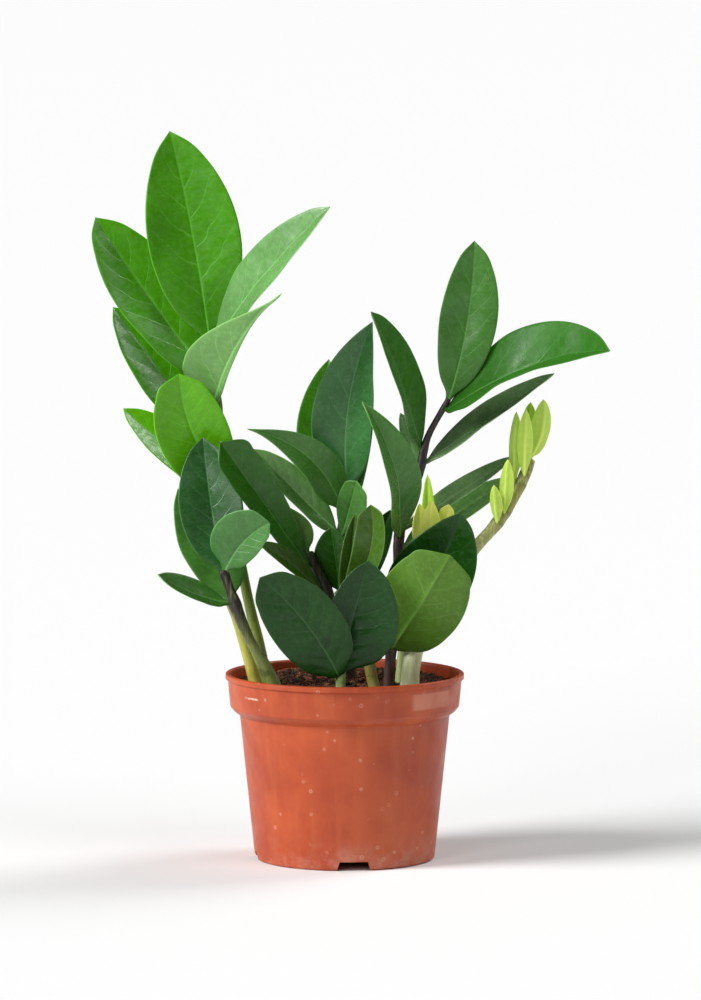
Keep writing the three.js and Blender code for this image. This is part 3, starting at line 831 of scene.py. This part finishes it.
def pot_material():
    """Moulded terracotta-coloured plastic: cloudy tone, limescale, dust at the foot and marks on the band."""
    s = Shader("pot_plastic")
    wide, _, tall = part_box("pot")[1]
    source = s.node("ShaderNodeTexCoord").outputs["Object"]
    place = s.node("ShaderNodeSeparateXYZ", {"Vector": source}).outputs
    height = s.math("DIVIDE", place[2], tall)
    cloud = s.noise(28, 4, rough=0.6)
    skin = s.mix(s.ramp(cloud, 0.3, 0.7), linear(POT_DARK), linear(POT_LIGHT))
    streak = s.noise(150, 3, vector=s.place((1, 1, 0.08)))
    skin = s.mix(s.ramp(streak, 0.4, 0.75, 0.0, 0.18), skin, linear(POT_STREAK))

    haze = s.times(s.ramp(height, 0.22, 0.0), s.ramp(s.noise(70, 5, rough=0.7), 0.4, 0.7))
    marks = {
        "flecks": lime_flecks(s),
        "haze": haze,
        "stain": label_stain(s, place, wide, tall),
        "scratch": band_scratch(s, place, wide, tall),
    }
    for mark, (code, strength) in POT_MARKS.items():
        skin = s.mix(s.times(marks[mark], strength), skin, linear(code))
    s.set(Base_Color=skin, Specular_IOR_Level=0.5, IOR=1.5)

    rough = s.ramp(s.noise(90, 4, rough=0.6), 0.3, 0.7, 0.36, 0.5)
    s.set(Roughness=s.plus(rough, s.times(s.plus(haze, marks["stain"]), 0.25)))
    relief = s.plus(s.times(streak, 0.5), s.times(s.noise(1300, 2), 0.3))
    s.bump(s.plus(relief, s.times(s.plus(marks["flecks"], marks["stain"]), 0.5)), 0.15, 0.0005)
    return s.material


def lime_flecks(s):
    """Small rings of limescale, here and there."""
    spots = s.node("ShaderNodeTexVoronoi", {"Vector": s.place(), "Scale": 150, "Randomness": 1})
    near = s.ramp(s.gap(spots.outputs["Distance"], 0.12), 0.02, 0.07, 1.0, 0.0)
    return s.times(near, s.ramp(s.noise(60, 2), 0.46, 0.6))


def patch(s, place, centre, reach):
    """1 inside a soft-edged block round a centre, 0 outside it."""
    inside = None
    for axis in range(3):
        part = s.ramp(s.gap(place[axis], centre[axis]), 0.72 * reach[axis], reach[axis], 1.0, 0.0)
        inside = part if inside is None else s.times(inside, part)
    return inside


def label_stain(s, place, wide, tall):
    """Old gum with torn edges on the band, with no printing."""
    centre = (0.72 * wide, -0.66 * wide, 0.9 * tall)
    inside = patch(s, place, centre, (0.18 * wide, 0.3 * wide, 0.05 * tall))
    torn = s.ramp(s.noise(60, 5, rough=0.6), 0.32, 0.6, 0.6, 1.0)
    return s.times(inside, torn)


def band_scratch(s, place, wide, tall):
    """One short pale scuff on the front left of the band."""
    centre = (-0.77 * wide, -0.6 * wide, 0.905 * tall)
    inside = patch(s, place, centre, (0.06 * wide, 0.3 * wide, 0.006 * tall))
    return s.times(inside, s.ramp(s.noise(500, 2), 0.3, 0.5))


def pot_profile(surface, wide, tall):
    """Outline of the pot as (radius, height), from the middle of its underside to that of its inside."""
    angle = math.pi / 4
    out = Vector((math.cos(angle), math.sin(angle), 0))

    def radius(height, outside):
        start = out * (2 * wide if outside else 0) + Vector((0, 0, height))
        hit = surface.ray_cast(start, -out if outside else out)[0]
        return hit.xy.length

    inner_point = out * 0.15 * wide
    under = surface.ray_cast(inner_point + Vector((0, 0, -0.1)), Vector((0, 0, 1)))[0].z
    floor = surface.ray_cast(inner_point + Vector((0, 0, 1)), Vector((0, 0, -1)))[0].z
    ring = radius(0.5 * under, False)
    lip = tall - LIP_RISE
    outline = [(0, under), (ring, under), (ring, 0.3 * MM), (ring + 0.3 * MM, 0)]
    outline.append((radius(0.1 * MM, True) - 0.5 * MM, 0))
    outline += [(radius(h, True), h) for h in np.arange(0.5 * MM, lip, POT_STEP)]
    outer, inner = radius(lip, True), radius(lip, False)
    middle, half = (outer + inner) / 2, (outer - inner) / 2
    for step in range(1, LIP_STEPS):
        turn = math.pi * step / LIP_STEPS
        outline.append((middle + half * math.cos(turn), lip + LIP_RISE * math.sin(turn)))
    outline += [(radius(h, False), h) for h in reversed(np.arange(floor + 0.5 * MM, lip, 2 * POT_STEP))]
    return outline + [(radius(floor + 0.3 * MM, False) - 0.4 * MM, floor), (0, floor)]


def corner_groups(points):
    """The corners of four openings that are alike, one in each quarter turn, as one list for each."""
    groups = defaultdict(list)
    for p in points:
        groups[round((math.atan2(p[1], p[0]) - math.radians(5)) / (math.pi / 2)) % 4].append(p)
    return list(groups.values())


def build_pot():
    """Replaces the CAD pot by a smooth one with a rolled lip, cut through where the CAD pot is."""
    wide, _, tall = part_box("pot")[1]
    outline = pot_profile(node_surface("pot"), wide, tall)
    points = []
    for radius, height in outline:
        for k in range(POT_SEGMENTS):
            angle = 2 * math.pi * k / POT_SEGMENTS
            points.append((radius * math.cos(angle), radius * math.sin(angle), height))
    faces = tube_faces(len(outline), POT_SEGMENTS)
    piece = add_piece("pot_shell", points, faces, [pot_material()], ["pot"])
    weld_ends(piece)
    cut_openings(piece)


def opening_blocks():
    """Blocks where the CAD pot has foot notches and drain slots, found from its corners."""
    corners, _ = welded("pot")
    notch_top = max(round(z, 5) for z in corners[:, 2] if 1.5 * MM < z < 4.9 * MM)
    under = min(z for z in corners[:, 2] if z > notch_top + 0.1 * MM)
    at_notches = [p for p in corners if abs(p[2] - notch_top) < 0.05 * MM]
    in_base = [p for p in corners if 0 < p[2] < under + SLOT_BELOW]
    inner = 0.65 * max(corners[:, 0])
    at_slots = [p for p in in_base if 5 * MM < math.hypot(p[0], p[1]) < inner]
    notches = [notch_block(group, notch_top) for group in corner_groups(at_notches)]
    return notches + [slot_block(group, under) for group in corner_groups(at_slots)]


def cut_openings(piece):
    """Cuts the foot notches and the drain slots through the smooth pot."""
    shape = bmesh.new()
    for block in opening_blocks():
        verts = [shape.verts.new(c) for c in block]
        for side in BLOCK_SIDES:
            shape.faces.new([verts[k] for k in side])
    bmesh.ops.recalc_face_normals(shape, faces=shape.faces)
    mesh = bpy.data.meshes.new("cutters")
    shape.to_mesh(mesh)
    shape.free()
    tool = bpy.data.objects.new("cutters", mesh)
    bpy.context.scene.collection.objects.link(tool)
    cut = piece.modifiers.new("openings", "BOOLEAN")
    cut.operation = "DIFFERENCE"
    cut.solver = "EXACT"
    cut.object = tool
    ready = piece.evaluated_get(bpy.context.evaluated_depsgraph_get())
    made = bpy.data.meshes.new_from_object(ready)
    piece.modifiers.clear()
    piece.data = made
    bpy.data.objects.remove(tool)
    made.polygons.foreach_set("use_smooth", [True] * len(made.polygons))
    made.set_sharp_from_angle(angle=math.radians(SHARP_ANGLE))


def notch_block(group, top):
    """A wedge through the foot ring, a little wider at the floor than at its top."""
    middle = np.mean(group, axis=0)[:2]
    out = middle / np.linalg.norm(middle)
    side = np.array([-out[1], out[0]])
    half = max(abs(np.dot(p[:2], side)) for p in group)
    reach = np.linalg.norm(middle)
    corners = []
    for height, spread in ((-NOTCH_BELOW, half + NOTCH_FLARE), (top, half)):
        for near, way in ((-NOTCH_REACH, -1), (-NOTCH_REACH, 1), (NOTCH_REACH, 1), (NOTCH_REACH, -1)):
            spot = out * (reach + near) + side * spread * way
            corners.append((spot[0], spot[1], height))
    return corners


def slot_block(group, under):
    """A straight block through the base."""
    middle = np.mean(group, axis=0)[:2]
    out = middle / np.linalg.norm(middle)
    side = np.array([-out[1], out[0]])
    long = max(abs(np.dot(p[:2] - middle, out)) for p in group)
    wide = max(abs(np.dot(p[:2] - middle, side)) for p in group)
    corners = []
    for height in (under - SLOT_BELOW, under + SLOT_ABOVE):
        for near, way in ((-long, -wide), (-long, wide), (long, wide), (long, -wide)):
            spot = middle + out * near + side * way
            corners.append((spot[0], spot[1], height))
    return corners


# ---------------------------------------------------------------- the plant

def build_plant():
    """Every leaflet and stem, with each petiole run into its stem."""
    for number, group in enumerate(STEM_LOOKS):
        axis = stem_axis(f"{group}_stem")[0]
        joints = []
        for node in sorted(n for n in NODES if n.startswith(f"{group}_leaf_")):
            base = leaf_cage(node)[0]
            root = nearest_on(axis, base)
            joints.append(root)
            build_leaf(node, root, 7 * number + len(joints))
        build_stem(group, joints)


# ---------------------------------------------------------------- stage

def plain_floor():
    """A wide plain pale floor."""
    mesh = bpy.data.meshes.new("floor")
    corners = [(x * FLOOR_REACH, y * FLOOR_REACH, 0) for x, y in ((-1, -1), (1, -1), (1, 1), (-1, 1))]
    mesh.from_pydata(corners, [], [(0, 1, 2, 3)])
    floor = bpy.data.objects.new("floor", mesh)
    bpy.context.scene.collection.objects.link(floor)
    s = Shader("floor_paint")
    s.set(Base_Color=[FLOOR_TONE] * 3, Roughness=0.9, Specular_IOR_Level=0.1)
    mesh.materials.append(s.material)


def sunlight(name, source, strength, spread):
    """Even light from one side, as wide as a large diffuser."""
    lamp = bpy.data.lights.new(name, "SUN")
    lamp.energy = strength
    lamp.angle = math.radians(spread)
    holder = bpy.data.objects.new(name, lamp)
    holder.rotation_euler = Vector(source).to_track_quat("Z", "Y").to_euler()
    bpy.context.scene.collection.objects.link(holder)


def studio():
    """White surroundings, dimmer for lighting than for the camera, and the lights round the plant."""
    world = bpy.data.worlds.new("studio")
    world.use_nodes = True
    backdrop = world.node_tree.nodes["Background"]
    backdrop.inputs["Color"].default_value = (1, 1, 1, 1)
    strength = world.node_tree.nodes.new("ShaderNodeMapRange")
    strength.inputs["To Min"].default_value = AMBIENT_STRENGTH
    strength.inputs["To Max"].default_value = BACKDROP_STRENGTH
    seen = world.node_tree.nodes.new("ShaderNodeLightPath").outputs["Is Camera Ray"]
    world.node_tree.links.new(seen, strength.inputs["Value"])
    world.node_tree.links.new(strength.outputs["Result"], backdrop.inputs["Strength"])
    bpy.context.scene.world = world
    for name, (source, power, spread) in LIGHTS.items():
        sunlight(name, source, power, spread)
    bpy.context.scene.view_settings.view_transform = "Standard"


def camera():
    """A long lens looking slightly down from the front."""
    lens = bpy.data.cameras.new("camera")
    lens.lens = CAMERA_LENS
    lens.clip_end = CAMERA_CLIP
    holder = bpy.data.objects.new("camera", lens)
    tilt = math.radians(CAMERA_TILT)
    away = Vector((0, -math.cos(tilt), math.sin(tilt))) * CAMERA_DISTANCE
    holder.location = Vector(CAMERA_AIM) + away
    holder.rotation_euler = (math.pi / 2 - tilt, 0, 0)
    bpy.context.scene.collection.objects.link(holder)
    bpy.context.scene.camera = holder


build_plant()
build_soil()
build_pot()
plain_floor()
studio()
camera()
